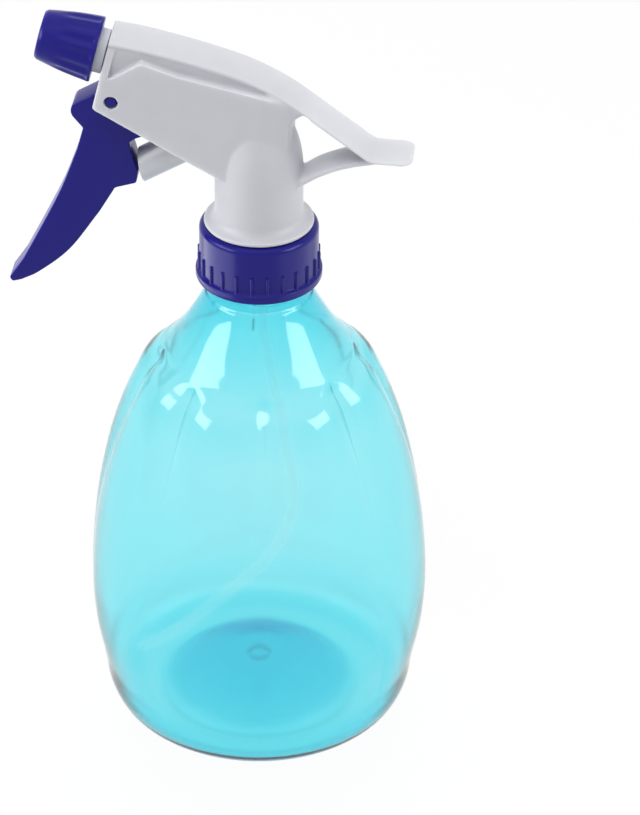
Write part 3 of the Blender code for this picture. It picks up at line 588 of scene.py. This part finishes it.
def seal_rubber():
    """Dull black rubber of the seals."""
    return moulded("seal", (0.03, 0.03, 0.032), (0.6, 0.8), 0.3)[0]


def spring_steel():
    """Drawn steel wire and polished balls."""
    mat, shader = moulded("steel", (0.60, 0.60, 0.58), (0.18, 0.34), 0.1)
    shader.inputs["Metallic"].default_value = 1.0
    return mat


MATERIALS = {"clear_cyan": clear_cyan(), "clear_tube": clear_tube(), "blue": blue_plastic(),
             "white": white_plastic(), "pale_grey": pale_plastic(), "seal": seal_rubber(),
             "steel": spring_steel()}


def dress(obj, node, body, slot):
    """Give a piece its material and body, in place of its solid."""
    obj.data.materials.clear()
    obj.data.materials.append(MATERIALS[slot])
    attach(obj, body)
    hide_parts(node)
    return obj


# Bottle

BOTTLE_ANGLES = LOBE_PHASE + TURN * np.arange(BOTTLE_SEGMENTS) / BOTTLE_SEGMENTS
CREASE = (1 - np.abs(np.sin(LOBES / 2 * (BOTTLE_ANGLES - LOBE_PHASE)))) ** CREASE_SHARPNESS


def crease_depth(height):
    """The creases' depth at a height: deepest just under the lobes' top, fading to the foot."""
    run_out = blend(LOBE_TOP - height, 0, CREASE_RUN_OUT)
    grown = CREASE_LEAST + (1 - CREASE_LEAST) * blend(height, *CREASE_GROWTH) ** CREASE_POWER
    return CREASE_DEPTH * run_out * (blend(height, *CREASE_START) * grown)


def lobed_ring(height, radius):
    """One level of the lobed part."""
    return circle(radius - crease_depth(height) * CREASE, height, BOTTLE_ANGLES)


def thread_ring(height):
    """One level of the neck, with its part of the thread's ridge."""
    turns = (BOTTLE_ANGLES - LOBE_PHASE) / TURN
    ridge = np.zeros_like(turns)
    for lap in range(math.ceil(THREAD_TURNS)):
        place = turns + lap
        off = np.abs(height - THREAD_FOOT - THREAD_LEAD * place)
        ends = blend(place, 0, THREAD_RUN_OUT) * blend(THREAD_TURNS - place, 0, THREAD_RUN_OUT)
        ridge = np.maximum(ridge, ends * blend(THREAD_HALF - off, 0, THREAD_FLANK * THREAD_HALF))
    return circle(NECK_RADIUS + THREAD_HEIGHT * ridge, height, BOTTLE_ANGLES)


def make_bottle():
    """Loft the shell: up the inside from the raised centre, over the rim, down outside and back under."""
    lobes, cone = spline(BOTTLE_LOBES, 6), spline(BOTTLE_CONE, 8)
    heights, walls = zip(*WALL)
    outer = [lobed_ring(z, r) for z, r in lobes[:-1] + cone]
    inner = [lobed_ring(z, r - np.interp(z, heights, walls)) for z, r in lobes[:-1] + cone
             if z > INSIDE_FOOT]
    # Over the base, the inside follows the underside as far as the standing ring
    radii, floors = zip(*BASE_WALL)
    base_in = [circle(r, z + np.interp(r, radii, floors), BOTTLE_ANGLES)
               for r, z in spline(UNDERSIDE, 3)[:-4]]
    corner = [circle(r, z, BOTTLE_ANGLES) for r, z in INSIDE_CORNER]
    rim = [circle(NECK_BORE + r, NECK_TOP + z, BOTTLE_ANGLES) for r, z in NECK_RIM]
    neck = [thread_ring(z) for z in np.linspace(NECK_TOP - 0.7, NECK_BAND[0][1] + 0.1, NECK_LEVELS)]
    band = [circle(r, z, BOTTLE_ANGLES) for r, z in NECK_BAND]
    base_out = [circle(r, z, BOTTLE_ANGLES) for r, z in reversed(spline(UNDERSIDE, 3))]
    rings = base_in + corner + inner + rim + neck + band + outer[::-1] + base_out
    shell = skin("bottle_shell", rings, sharp_angle=50)
    # The clear wall neither shades nor tints the matt surfaces around it
    shell.visible_diffuse = False
    shell.visible_shadow = False
    return dress(shell, "bottle", "bottle", "clear_cyan")


def make_dip_tube():
    """Sweep the soft tube along its route."""
    tube = sweep("tube", spline(TUBE_ROUTE, 12), (TUBE_RADIUS, TUBE_RADIUS - TUBE_WALL), 32)
    return dress(tube, "dip_tube", "head", "clear_tube")


# Cap

def make_cap():
    """Turn the collar with a rounded top edge, a flared foot and upright ribs."""
    segments = RIBS * RIB_SEGMENTS
    angles = TURN * np.arange(segments) / segments
    off = np.abs((angles * RIBS / TURN + 0.5) % 1 - 0.5) * TURN / RIBS * CAP_RADIUS
    across = np.sqrt(np.clip(1 - (off / RIB_HALF) ** 2, 0, 1))
    foot = CAP_RADIUS + CAP_FLARE

    def side_ring(height):
        up = np.clip((RIB_TOP - height) / RIB_HALF, 0, 1)
        rib = RIB_PROUD * across * math.sqrt(1 - (1 - up) ** 2)
        flare = CAP_FLARE * (1 - blend(height, CAP_FLARE_TOP - 0.2, CAP_FLARE_TOP + 0.7))
        return circle(np.maximum(CAP_RADIUS + rib, CAP_RADIUS + flare), height, angles)

    edge = []
    for a in np.linspace(0, math.pi / 2, 9):
        inset, drop = CAP_EDGE_ROUND * (math.sin(a) - 1), CAP_EDGE_ROUND * (math.cos(a) - 1)
        edge.append(circle(CAP_RADIUS + inset, CAP_TOP + drop, angles))
    heights = list(np.linspace(CAP_TOP - CAP_EDGE_ROUND - 0.6, RIB_TOP + 0.2, 6))
    heights += list(np.linspace(RIB_TOP, RIB_TOP - RIB_HALF, 7))
    heights += list(np.linspace(RIB_TOP - 1, CAP_FLARE_TOP + 1, 6))
    heights += list(np.linspace(CAP_FLARE_TOP + 0.75, CAP_FLARE_TOP - 0.25, 9))
    side = [side_ring(z) for z in heights]
    underside = [(foot, CAP_BOTTOM + 0.5), (foot - 0.12, CAP_BOTTOM + 0.15), (foot - 0.4, CAP_BOTTOM)]
    bore = [(CAP_BORE + 0.4, CAP_BOTTOM), (CAP_BORE, CAP_BOTTOM + 0.4), (CAP_BORE, CAP_TOP - CAP_LIP),
            (CAP_OPENING, CAP_TOP - CAP_LIP), (CAP_OPENING, CAP_TOP - 0.2), (CAP_OPENING + 0.2, CAP_TOP)]
    inside = [circle(r, z, angles) for r, z in underside + bore]
    return dress(skin("cap", edge + side + inside, True), "screw_cap", "closure", "blue")


# Pump head

def column_profile():
    """The column from the tip of its dome down to the snap flange, closed at the axis."""
    dome = [(COLUMN_RADIUS * math.sin(a), DOME_START + DOME_HEIGHT * math.cos(a))
            for a in np.linspace(0, math.pi / 2, 17)]
    swept = [(COLUMN_FLARE - (COLUMN_FLARE - COLUMN_RADIUS) * math.sin(a),
              COLUMN_FOOT + FLARE_TOP - FLARE_RISE * math.cos(a)) for a in np.linspace(math.pi / 2, 0, 11)]
    return dome + swept + [(COLUMN_FLARE, COLUMN_FOOT), (SNAP_FLANGE[0][0], COLUMN_FOOT)] + SNAP_FLANGE


def rail_section(place, along, narrower):
    """One slice of the top rail or tail, square to its run, with a crowned top. In mm."""
    tail = blend(place[0], *TAIL_BLEND)
    side = RAIL_SIDE + (TAIL_SIDE - RAIL_SIDE) * tail
    crown = RAIL_CROWN + (TAIL_CROWN - RAIL_CROWN) * tail
    half = RAIL_HALF - narrower
    across = half * np.sin(np.linspace(-math.pi / 2, math.pi / 2, 17))
    up = np.array([-along[1], 0, along[0]])
    place = np.array([place[0], 0, place[1]])
    top = [place + (0, y, 0) + up * crown * (1 - (y / half) ** 2) for y in across]
    return np.array(top + [place + (0, half, 0) - up * side, place + (0, -half, 0) - up * side])


def make_rail():
    """Loft the rail from the front face over the column to the rounded tail end."""
    edge = spline(RAIL_EDGE, 4)
    directions = np.gradient(np.array(edge), axis=0)
    directions /= np.linalg.norm(directions, axis=1)[:, None]
    straight = RAIL_EDGE[-1][0] - TAIL_CORNER
    sections = [rail_section(p, d, 0) for p, d in zip(edge, directions) if p[0] < straight - 0.2]
    for angle in np.linspace(0, math.pi / 2, 10):
        place = (straight + TAIL_CORNER * math.sin(angle), RAIL_EDGE[-1][1])
        sections.append(rail_section(place, (1, 0), TAIL_CORNER * (1 - math.cos(angle))))
    return skin("rail", sections)


def make_strut():
    """Loft the arched strut, of rounded section, from the column out along the tail's underside."""
    angles = TURN * np.arange(STRUT_SEGMENTS) / STRUT_SEGMENTS
    power = 2 / STRUT_FULLNESS
    across = STRUT_HALF * np.sign(np.cos(angles)) * np.abs(np.cos(angles)) ** power
    along = np.sign(np.sin(angles)) * np.abs(np.sin(angles)) ** power
    rings = []
    for high, low in zip(spline(STRUT_UPPER, 6), spline(STRUT_LOWER, 4)):
        middle, half = (high + low) / 2, (high - low) / 2
        rings.append(np.stack([middle[0] + half[0] * along, across, middle[1] + half[1] * along], axis=1))
    return skin("strut", rings)


def make_cheeks():
    """Extrude both cheeks from their side outline, with backs that draw in towards the tail."""
    half = [(CHEEK_FRONT, CHEEK_HALF, 0)] + CHEEK_BACK
    outline = rounded(half + [(x, -y, radius) for x, y, radius in reversed(half)])
    rings = [np.array([(p[0], p[1], z) for p in outline]) for z in CHEEK_SPAN]
    cheeks = plate("cheeks", rounded(CHEEK_OUTLINE), CHEEK_HALF + 1)
    return combine(cheeks, [skin("cheek_plan", rings)], "INTERSECT")


def make_flange():
    """Extrude the front wall behind the nozzle, square to the nozzle's axis."""
    outline = rounded(FLANGE_OUTLINE)
    rings = [np.array([(p[0], p[1], u) for p in outline]) for u in (-FLANGE_THICK, 0)]
    return skin("flange", rings, place=NOZZLE_AXIS)


def on_axis(matrix, place):
    """A point in mm on the local Z of an axis frame."""
    return matrix @ Vector((0, 0, place * MM)) / MM


def head_cuts():
    """The trigger slot, the bores and the pin holes."""
    slope = PISTON_AXIS.to_3x3() @ Vector((-1, 0, 0))
    mouth = on_axis(PISTON_AXIS, PUMP_SPAN[0])
    sides = [mouth + slope * PUMP_WALL, mouth - slope * PUMP_WALL]
    slot = SLOT_OUTLINE + [(p.x, p.z) for p in sides] + SLOT_FLOOR
    across = Vector((0, 12, 0))
    start, end = on_axis(PISTON_AXIS, PUMP_SPAN[0] - 2), on_axis(PISTON_AXIS, PUMP_SPAN[1])
    cuts = [plate("slot", slot, SLOT_HALF), bar("pump", start, end, PUMP_BORE),
            bar("pins", PIVOT / MM - across, PIVOT / MM + across, PIN_HOLE)]
    for name, (radius, low, high) in (("holder", HOLDER_BORE), ("inlet", INLET_BORE)):
        cuts.append(bar(name, (0, 0, low), (0, 0, high), radius))
    for name, (radius, depth) in (("plug", PLUG_BORE), ("outlet", OUTLET_BORE)):
        cuts.append(bar(name, on_axis(NOZZLE_AXIS, 1), on_axis(NOZZLE_AXIS, -depth), radius))
    return cuts


def fillet_shares(x, y, z):
    """How far points in mm belong to the wider fillets at the dome, cheeks' back and strut's root."""
    dome = zone(x, *DOME_SPAN) * zone(z, *DOME_RISE) * blend(np.abs(y), *DOME_SIDE)
    dome *= DOME_FRONT + (1 - DOME_FRONT) * blend(x, *DOME_GROWTH)
    edge_x, edge_z = zip(*RAIL_EDGE)
    drop = np.interp(x, edge_x, edge_z) - z
    back = zone(x, *BACK_SPAN) * blend(drop, *BACK_DROP) * blend(z, *BACK_RISE)
    back *= blend(np.abs(y), *BACK_SIDE)
    root = zone(x, *ROOT_SPAN) * zone(z, *ROOT_RISE)
    return {"dome": dome, "back": back, "root": root}


def soften(obj):
    """Remesh a joined moulding and ease its edges, with wider fillets at the dome, back and strut root."""
    step = obj.modifiers.new("even", "REMESH")
    step.mode = "VOXEL"
    step.voxel_size = MOULD_VOXEL
    bake(obj)
    points = np.zeros(len(obj.data.vertices) * 3)
    obj.data.vertices.foreach_get("co", points)
    for name, share in fillet_shares(*points.reshape(-1, 3).T / MM).items():
        group = obj.vertex_groups.new(name=name)
        for index in np.flatnonzero(share > 0.02):
            group.add([int(index)], float(share[index]), "REPLACE")
    for name, rounds in MOULD_ROUNDS.items():
        step = obj.modifiers.new(name, "SMOOTH")
        step.factor = MOULD_EASING
        step.iterations = rounds
        if name != "edges":
            step.vertex_group = name
    step = obj.modifiers.new("lighter", "DECIMATE")
    step.ratio = MOULD_KEPT
    bake(obj)
    obj.vertex_groups.clear()
    obj.data.shade_smooth()
    return obj


def make_sprayer_body():
    """Join column, cheeks, core, rail, strut and front wall, cut the slot and bores, and ease the edges."""
    angles = TURN * np.arange(COLUMN_SEGMENTS) / COLUMN_SEGMENTS
    rings = [circle(max(r, 0.02), z, angles) for r, z in column_profile()]
    body = skin("pump_head", rings)
    core = plate("core", [(x, z - CORE_SINK) for x, z in RAIL_EDGE[:8]] + CORE_FOOT, CORE_HALF)
    combine(body, [make_cheeks(), core, make_rail(), make_strut(), make_flange()], "UNION")
    combine(body, head_cuts(), "DIFFERENCE")
    return dress(soften(body), "sprayer_body", "head", "white")


# Trigger and piston

def make_trigger():
    """Extrude the lever, round its edges, add the trunnions and hollow the back."""
    back = [(*p, 0) for p in spline(TRIGGER_BACK, 8)]
    front = [(*p, 0) for p in spline(TRIGGER_FRONT, 6)]
    lever = plate("lever", rounded(TRIGGER_HEAD + back + TRIGGER_TIP + front + TRIGGER_NOSE), TRIGGER_HALF)
    bevel(lever, TRIGGER_EDGE)
    pins = []
    for name, (radius, end) in (("boss", BOSS), ("pin", PIN)):
        across = Vector((0, end, 0))
        pins.append(bevel(bar(name, PIVOT / MM - across, PIVOT / MM + across, radius), PIN_EDGE, 3))
    combine(lever, pins, "UNION")
    combine(lever, [plate("channel", rounded(CHANNEL_OUTLINE), CHANNEL_HALF)], "DIFFERENCE")
    lever.data.shade_smooth()
    lever.data.set_sharp_from_angle(angle=math.radians(25))
    return dress(lever, "trigger", "trigger", "blue")


def make_piston():
    """Turn the rod and head, and cut the rod end to the slant of the trigger's back."""
    piston = turned("piston_rod", PISTON_FORM, PISTON_AXIS)
    slant = Matrix.Translation((0, 0, ROD_FACE * MM)) @ Matrix.Rotation(ROD_FACE_SLANT, 4, "Y")
    half, depth = ROD_FACE_CUT
    square = [(-half, -half), (half, -half), (half, half), (-half, half)]
    rings = [np.array([(x, y, z) for x, y in square]) for z in (-depth, 0)]
    combine(piston, [skin("face", rings, place=PISTON_AXIS @ slant)], "DIFFERENCE")
    bevel(piston, ROD_EDGE, 3)
    piston.data.shade_smooth()
    piston.data.set_sharp_from_angle(angle=math.radians(30))
    return dress(piston, "piston", "piston", "pale_grey")


# Nozzle

def make_nozzle():
    """Loft the nozzle cap: over the front edge, down the fluted side and up the bore."""
    angles = TURN * np.arange(NOZZLE_SEGMENTS) / NOZZLE_SEGMENTS
    wave = 0.5 + 0.5 * np.cos(FLUTES * angles)

    def side_ring(radius, height):
        return circle(radius - FLUTE_DEPTH * zone(height, *FLUTE_SPAN) * wave, height, angles)

    face = [circle(r, u, angles) for r, u in spline(NOZZLE_FACE + NOZZLE_SIDE[:1], 4)[:-1]]
    side = [side_ring(r, u) for r, u in spline(NOZZLE_SIDE, 8)]
    inside = [(NOZZLE_BORE + 0.3, NOZZLE_RIM), (NOZZLE_BORE, NOZZLE_RIM + 0.3),
              (NOZZLE_BORE, NOZZLE_BORE_END), (NOZZLE_ORIFICE, NOZZLE_BORE_END)]
    bore = [circle(r, u, angles) for r, u in inside]
    return dress(skin("nozzle", face + side + bore, True, NOZZLE_AXIS), "nozzle_cap", "nozzle", "blue")


# Inner pieces

def make_spring(name, node, body, place, size):
    """Wind a spring along its axis, on a mesh of its own."""
    wire, radius, (start, end), turns = size
    steps = np.linspace(0, 1, turns * SPRING_STEPS + 1)
    path = np.stack([radius * np.cos(TURN * turns * steps), radius * np.sin(TURN * turns * steps),
                     start + (end - start) * steps], axis=1)
    spring = dress(sweep(name, path, (wire,), WIRE_SEGMENTS, place), node, body, "steel")
    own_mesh(spring)
    return spring


def make_ball(name, node, size, place):
    """A polished check ball."""
    radius, height = size
    angles = TURN * np.arange(BALL_SEGMENTS) / BALL_SEGMENTS
    rings = [circle(max(radius * math.sin(a), 0.005), height - radius * math.cos(a), angles)
             for a in np.linspace(0, math.pi, 25)]
    return dress(skin(name, rings, place=place, sharp_angle=60), node, node, "steel")


def make_inner_pieces():
    """Turn the plugs, washers and seals, wind the springs and place the balls."""
    forms = [("neck_washer", "neck_gasket", "head", "seal", NECK_GASKET, UPRIGHT),
             ("tube_plug", "tube_holder", "head", "pale_grey", TUBE_HOLDER, UPRIGHT),
             ("cup_seal", "piston_cup", "piston", "seal", PISTON_CUP, PISTON_AXIS),
             ("nozzle_stem", "nozzle_holder", "head", "pale_grey", NOZZLE_HOLDER, NOZZLE_AXIS),
             ("swirl_plug", "swirl_insert", "head", "pale_grey", SWIRL_INSERT, NOZZLE_AXIS),
             ("nozzle_washer", "nozzle_seal", "nozzle_seal", "seal", NOZZLE_SEAL, NOZZLE_AXIS)]
    for name, node, body, slot, profile, place in forms:
        dress(turned(name, profile, place), node, body, slot)
    make_spring("pump_spring", "return_spring", "head", PISTON_AXIS, RETURN_SPRING)
    make_spring("valve_spring", "outlet_spring", "head", NOZZLE_AXIS, OUTLET_SPRING)
    make_ball("inlet_check", "inlet_ball", INLET_BALL, UPRIGHT)
    make_ball("outlet_check", "outlet_ball", OUTLET_BALL, NOZZLE_AXIS)


# Studio

def make_floor():
    """A plain floor of a dark shade, which glows so that it looks white to the edge of the view."""
    shade = (FLOOR_SHADE, FLOOR_SHADE, FLOOR_SHADE)
    mat, shader = new_material("floor", shade, 0.6)
    shader.inputs["Emission Color"].default_value = (1.0, 1.0, 1.0, 1.0)
    shader.inputs["Emission Strength"].default_value = FLOOR_GLOW
    tint(mat, shader, noise(mat, 3), scaled(shade, 0.99), scaled(shade, 1.01))
    mesh = bpy.data.meshes.new("floor")
    half = FLOOR_HALF
    corners = [(-half, -half, 0), (half, -half, 0), (half, half, 0), (-half, half, 0)]
    mesh.from_pydata(corners, [], [(0, 1, 2, 3)])
    mesh.materials.append(mat)
    floor = keep(bpy.data.objects.new("floor", mesh))
    floor.visible_glossy = False


def soft_box(name, place, aim, size, watts, shines=True, washes=True):
    """A soft light facing a point, which may be seen only in gloss, or only light matt surfaces."""
    light = bpy.data.lights.new(name, "AREA")
    light.shape = "RECTANGLE"
    light.size, light.size_y = size
    light.energy = watts
    lamp = keep(bpy.data.objects.new(name, light))
    lamp.location = place
    lamp.rotation_euler = (Vector(aim) - Vector(place)).to_track_quat("-Z", "Y").to_euler()
    lamp.visible_camera = False
    lamp.visible_glossy = shines
    lamp.visible_transmission = shines and washes
    lamp.visible_diffuse = washes
    return lamp


def make_studio(cap):
    """A white room, washes of light from above, the front and the sides, and cards that only gloss shows."""
    world = bpy.data.worlds.new("room")
    world.use_nodes = True
    nodes, links = world.node_tree.nodes, world.node_tree.links
    background = nodes["Background"]
    background.inputs["Color"].default_value = (1.0, 1.0, 1.0, 1.0)
    rays = nodes.new("ShaderNodeLightPath")
    dim = nodes.new("ShaderNodeMapRange")
    dim.inputs["To Min"].default_value = 1.0
    dim.inputs["To Max"].default_value = ROOM_MATT
    links.new(rays.outputs["Is Diffuse Ray"], dim.inputs["Value"])
    links.new(dim.outputs["Result"], background.inputs["Strength"])
    bpy.context.scene.world = world
    for name, place, size, watts, shines, washes in LIGHTS:
        soft_box(name, place, LIGHT_AIM, size, watts, shines, washes)
    for name, place, watts in CAP_CARDS:
        card = soft_box(name, place, CAP_CARD_AIM, CAP_CARD_SIZE, watts, washes=False)
        card.light_linking.receiver_collection = bpy.data.collections.new(name)
        card.light_linking.receiver_collection.objects.link(cap)
    bpy.context.scene.view_settings.view_transform = "Standard"


def make_camera():
    """The photograph's camera, turned and rolled so that its frame needs no shift."""
    data = bpy.data.cameras.new("camera")
    data.sensor_width = SENSOR
    data.lens = SENSOR * FOCAL_PIXELS / max(IMAGE_SIZE)
    camera = keep(bpy.data.objects.new("camera", data))
    x, y = CAMERA_REACH * math.sin(CAMERA_TURN), -CAMERA_REACH * math.cos(CAMERA_TURN)
    camera.location = (x, y, CAMERA_HEIGHT)
    aim = Matrix.Rotation(CAMERA_YAW, 3, "Z") @ Matrix.Rotation(math.pi / 2 - CAMERA_PITCH, 3, "X")
    camera.rotation_euler = (aim @ Matrix.Rotation(CAMERA_ROLL, 3, "Z")).to_euler()
    bpy.context.scene.camera = camera


make_camera()
make_floor()
make_studio(make_cap())
make_bottle()
make_dip_tube()
make_sprayer_body()
make_trigger()
make_piston()
make_nozzle()
make_inner_pieces()

bpy.context.view_layer.update()
